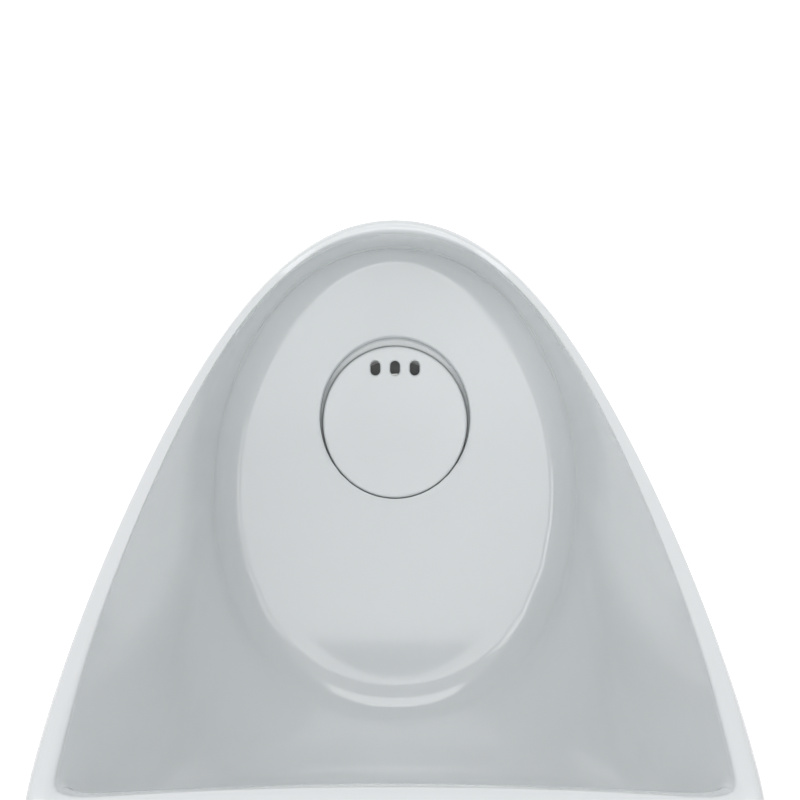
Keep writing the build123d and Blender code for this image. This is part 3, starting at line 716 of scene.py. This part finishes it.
# the flat back and the foot stand bare on the kiln shelf
bareSlot = [place.material for place in chinaBody.material_slots].index(bareChina)
for face in chinaBody.data.polygons:
    middle = face.center
    if middle.z < meshing["skim"] * mm or middle.y > yAt(meshing["skim"]) * mm:
        face.material_index = bareSlot
smoothByAngle(chinaBody, 32.0)
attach(chinaBody, "bowl")
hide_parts("ceramic_body")
print("china body,", len(chinaBody.data.polygons), "faces")


# lift-out drain cover: an oval glazed plate with three soft slots, on a castellated skirt
cover = {
    "half": (46.75, 49.2),
    "top": 301.0,
    "underside": 292.0,
    "crown": 0.12,                   # fall of the top towards its edge, and how wide that is
    "crownWidth": 4.4,
    "crownRows": 5,
    "edge": 1.3,
    "edgeRows": 6,
    "underEdge": 0.8,
    "flatMargin": (0.4, 0.2),        # first flat band inside the crown, and round each slot
    "slot": (3.1, 4.7),              # half width and half length
    "slotPitch": 12.8,
    "slotForward": 35.0,
    "slotEdge": 1.1,
    "slotEdgeRows": 5,
    "slotStraight": 3.0,             # straight part below the top, then the slots widen
    "slotFlare": 1.7,
    "slotFoot": 1.5,
    "skirt": (2.0, 5.6),             # outer and inner inset
    "skirtFoot": 283.4,
    "skirtEdge": 0.7,
    "skirtRoot": 0.3,                # how far the skirt reaches into the plate
    "skirtSteps": 18,
    "gate": 17.0,                    # half width of the gates between the skirt's four walls
    "steps": 128,
}


def ovalRing(inset, height):
    ring = []
    for i in range(cover["steps"]):
        turn = 2 * math.pi * i / cover["steps"]
        ring.append(Vector(((cover["half"][0] - inset) * math.cos(turn),
                            yAt(drain["depth"]) + (cover["half"][1] - inset) * math.sin(turn), height)))
    return ring


def slotRing(x, grow, height):
    # stadium with its long axis towards the nose
    radius = cover["slot"][0] + grow
    straight = cover["slot"][1] - cover["slot"][0]
    middle = yAt(drain["depth"] + cover["slotForward"])
    steps = 12
    ring = []
    for end in (1, -1):
        for i in range(steps + 1):
            turn = math.pi * i / steps + (0 if end == 1 else math.pi)
            ring.append(Vector((x + radius * math.cos(turn),
                                middle + end * straight + radius * math.sin(turn), height)))
    return ring


def stackRings(work, rings):
    # bands of faces between rings; returns the rings of vertices
    made = [[work.verts.new(tuple(point * mm)) for point in ring] for ring in rings]
    for upper, lower in zip(made, made[1:]):
        for i in range(len(upper)):
            after = (i + 1) % len(upper)
            work.faces.new((upper[i], upper[after], lower[after], lower[i]))
    return made


def ringEdges(work, ring):
    return [work.edges.get((ring[i], ring[(i + 1) % len(ring)])) for i in range(len(ring))]


def coverMesh():
    work = bmesh.new()
    top, under, edge, crown = cover["top"], cover["underside"], cover["edge"], cover["crown"]
    width, underEdge = cover["crownWidth"], cover["underEdge"]
    rings = [ovalRing(width + cover["flatMargin"][0], top), ovalRing(width, top)]
    for j in range(1, cover["crownRows"] + 1):
        run = j / cover["crownRows"]
        rings.append(ovalRing(width + (edge - width) * run, top - crown * run * run))
    for j in range(1, cover["edgeRows"] + 1):
        turn = math.pi / 2 * j / cover["edgeRows"]
        rings.append(ovalRing(edge * (1 - math.sin(turn)), top - crown - edge * (1 - math.cos(turn))))
    rings += [ovalRing(0.0, under + underEdge), ovalRing(underEdge, under)]
    plate = stackRings(work, rings)
    topEdges, underEdges = ringEdges(work, plate[0]), ringEdges(work, plate[-1])
    soft, flare = cover["slotEdge"], cover["slotFlare"]
    for i in (-1, 0, 1):
        x = i * cover["slotPitch"]
        rings = [slotRing(x, soft + cover["flatMargin"][1], top), slotRing(x, soft, top)]
        for j in range(1, cover["slotEdgeRows"] + 1):
            turn = math.pi / 2 * j / cover["slotEdgeRows"]
            rings.append(slotRing(x, soft * (1 - math.sin(turn)), top - soft * (1 - math.cos(turn))))
        rings += [slotRing(x, 0.0, top - cover["slotStraight"]),
                  slotRing(x, flare, under + cover["slotFoot"]), slotRing(x, flare, under)]
        slot = stackRings(work, rings)
        topEdges += ringEdges(work, slot[0])
        underEdges += ringEdges(work, slot[-1])
    bmesh.ops.triangle_fill(work, use_beauty=True, edges=topEdges)
    bmesh.ops.triangle_fill(work, use_beauty=True, edges=underEdges)
    # skirt between the gates
    outer, inner = cover["skirt"]
    root, foot, soft = under + cover["skirtRoot"], cover["skirtFoot"], cover["skirtEdge"]
    section = ((outer, root), (outer, foot + soft), (outer + soft, foot),
               (inner - soft, foot), (inner, foot + soft), (inner, root))
    halfX, halfY = cover["half"]
    first = math.asin(cover["gate"] / (halfY - outer))
    last = math.acos(cover["gate"] / (halfX - outer))
    for sideX in (1, -1):
        for sideY in (1, -1):
            made = []
            for i in range(cover["skirtSteps"] + 1):
                turn = first + (last - first) * i / cover["skirtSteps"]
                column = [Vector((sideX * (halfX - inset) * math.cos(turn),
                                  yAt(drain["depth"]) + sideY * (halfY - inset) * math.sin(turn), height))
                          for inset, height in section]
                made.append([work.verts.new(tuple(point * mm)) for point in column])
            for left, right in zip(made, made[1:]):
                for j in range(len(section)):
                    after = (j + 1) % len(section)
                    work.faces.new((left[j], left[after], right[after], right[j]))
            work.faces.new(made[0])
            work.faces.new(made[-1][::-1])
    bmesh.ops.recalc_face_normals(work, faces=work.faces)
    mesh = bpy.data.meshes.new("drainCover")
    work.to_mesh(mesh)
    work.free()
    return mesh


drainCover = bpy.data.objects.new("drainCover", coverMesh())
bpy.context.collection.objects.link(drainCover)
drainCover.data.materials.append(coverGlaze)
smoothByAngle(drainCover, 40.0)
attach(drainCover, "cover")
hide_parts("drain_cover")
print("drain cover,", len(drainCover.data.polygons), "faces")

for part in frame["record"]["subparts"]:
    node = frame["nodes"][part["node"]]
    look = finishes[part["material_slot"]]
    if node.material_slots:
        for place in node.material_slots:
            place.material = look
    else:
        node.data.materials.append(look)
print("finishes,", len(finishes))

# floor, light and camera
studio = {
    "cameraDepth": 284.3,            # under the camera, depth from the wall
    "cameraHeight": 2.7,
    "focal": 166.3,
    "sensor": 36.0,
    "shift": 0.00625,
    "floorHalf": 8.0,
    "floorDrop": 0.0005,
    "floorTone": 0.85,
    "floorGlow": 0.5,                # what camera and mirror see of the floor's own white
    "world": 0.27,
    "worldTint": (0.93, 0.96, 1.0, 1.0),
    "lamps": (                       # name, place, target, size, power
        ("keyLeft", (4.4, -1.4, 6.75), (0.0, 0.0, 0.5), (3.6, 3.6), 94.0),
        ("fillRight", (-4.4, -0.8, 7.15), (0.0, 0.0, 0.5), (3.6, 3.6), 58.0),
        ("fillFront", (0.0, -6.4, 4.55), (0.0, 0.0, 0.5), (6.4, 3.2), 144.0),
        ("backHigh", (0.0, 3.8, 7.15), (0.0, -0.1, 0.4), (6.4, 4.0), 120.0),
        ("overhead", (0.0, 0.3, 7.95), (0.0, -0.1, 0.4), (4.4, 4.0), 104.0),
    ),
}


def seenRays(tree):
    # 1 for camera, glossy and transmission rays, 0 for light on the object
    path = tree.nodes.new("ShaderNodeLightPath")
    found = path.outputs["Is Camera Ray"]
    for name in ("Is Glossy Ray", "Is Transmission Ray"):
        either = tree.nodes.new("ShaderNodeMath")
        either.operation = "MAXIMUM"
        tree.links.new(found, either.inputs[0])
        tree.links.new(path.outputs[name], either.inputs[1])
        found = either.outputs[0]
    return found


reach = studio["floorHalf"]
floorMesh = bpy.data.meshes.new("floor")
floorMesh.from_pydata([(-reach, -reach, 0), (reach, -reach, 0), (reach, reach, 0), (-reach, reach, 0)],
                      [], [(0, 1, 2, 3)])
floor = bpy.data.objects.new("floor", floorMesh)
bpy.context.collection.objects.link(floor)
floor.location.z = -studio["floorDrop"]
floorLook = bpy.data.materials.new("floorLook")
floorLook.use_nodes = True
tree = floorLook.node_tree
tree.nodes.clear()
diffuse = tree.nodes.new("ShaderNodeBsdfDiffuse")
diffuse.inputs["Color"].default_value = (studio["floorTone"],) * 3 + (1.0,)
glow = tree.nodes.new("ShaderNodeEmission")
share = tree.nodes.new("ShaderNodeMath")
share.operation = "MULTIPLY"
share.inputs[1].default_value = studio["floorGlow"]
both = tree.nodes.new("ShaderNodeAddShader")
output = tree.nodes.new("ShaderNodeOutputMaterial")
tree.links.new(seenRays(tree), share.inputs[0])
tree.links.new(share.outputs[0], glow.inputs["Strength"])
tree.links.new(diffuse.outputs[0], both.inputs[0])
tree.links.new(glow.outputs[0], both.inputs[1])
tree.links.new(both.outputs[0], output.inputs["Surface"])
floorMesh.materials.append(floorLook)

world = bpy.data.worlds.new("studio")
bpy.context.scene.world = world
world.use_nodes = True
tree = world.node_tree
tree.nodes.clear()
plain = tree.nodes.new("ShaderNodeBackground")
plain.inputs["Color"].default_value = studio["worldTint"]
plain.inputs["Strength"].default_value = studio["world"]
seen = tree.nodes.new("ShaderNodeBackground")
seen.inputs["Color"].default_value = (1.0, 1.0, 1.0, 1.0)
seen.inputs["Strength"].default_value = 1.0
pick = tree.nodes.new("ShaderNodeMixShader")
output = tree.nodes.new("ShaderNodeOutputWorld")
tree.links.new(seenRays(tree), pick.inputs["Fac"])
tree.links.new(plain.outputs[0], pick.inputs[1])
tree.links.new(seen.outputs[0], pick.inputs[2])
tree.links.new(pick.outputs[0], output.inputs["Surface"])

for name, place, target, size, power in studio["lamps"]:
    lamp = bpy.data.lights.new(name, "AREA")
    lamp.shape = "RECTANGLE"
    lamp.size, lamp.size_y = size
    lamp.energy = power
    softbox = bpy.data.objects.new(name, lamp)
    bpy.context.collection.objects.link(softbox)
    softbox.location = place
    softbox.rotation_euler = (Vector(target) - Vector(place)).to_track_quat("-Z", "Y").to_euler()

camera = bpy.data.objects.new("camera", bpy.data.cameras.new("camera"))
bpy.context.collection.objects.link(camera)
camera.location = (0.0, yAt(studio["cameraDepth"]) * mm, studio["cameraHeight"])
camera.rotation_euler = (0.0, 0.0, math.pi)
camera.data.sensor_width = studio["sensor"]
camera.data.lens = studio["focal"]
camera.data.shift_x = studio["shift"]
bpy.context.scene.camera = camera
bpy.context.scene.view_settings.view_transform = "Standard"
print("studio ready")
